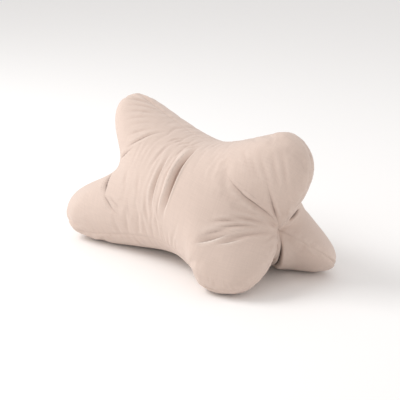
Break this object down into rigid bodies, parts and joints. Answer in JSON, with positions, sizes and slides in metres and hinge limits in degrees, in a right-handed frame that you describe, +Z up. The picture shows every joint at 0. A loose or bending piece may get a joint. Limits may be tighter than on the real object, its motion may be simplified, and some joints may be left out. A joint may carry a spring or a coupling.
{
  "type": "neck pillow",
  "caption": "Bone-shaped stuffed neck pillow of plain pinkish-beige woven cotton, three lobes at each end, lying on four of them",
  "frame": {"origin": "on the surface it rests on, under the middle of its box", "axes": "+X along the pillow, +Z up, -Y towards the viewer of its front panel"},
  "size_m": [0.4316, 0.2438, 0.224],
  "materials": {
    "cotton_cloth": "matte plain weave"
  },
  "bodies": {
    "root": {"pillow": "cotton_cloth"}
  },
  "joints": []
}
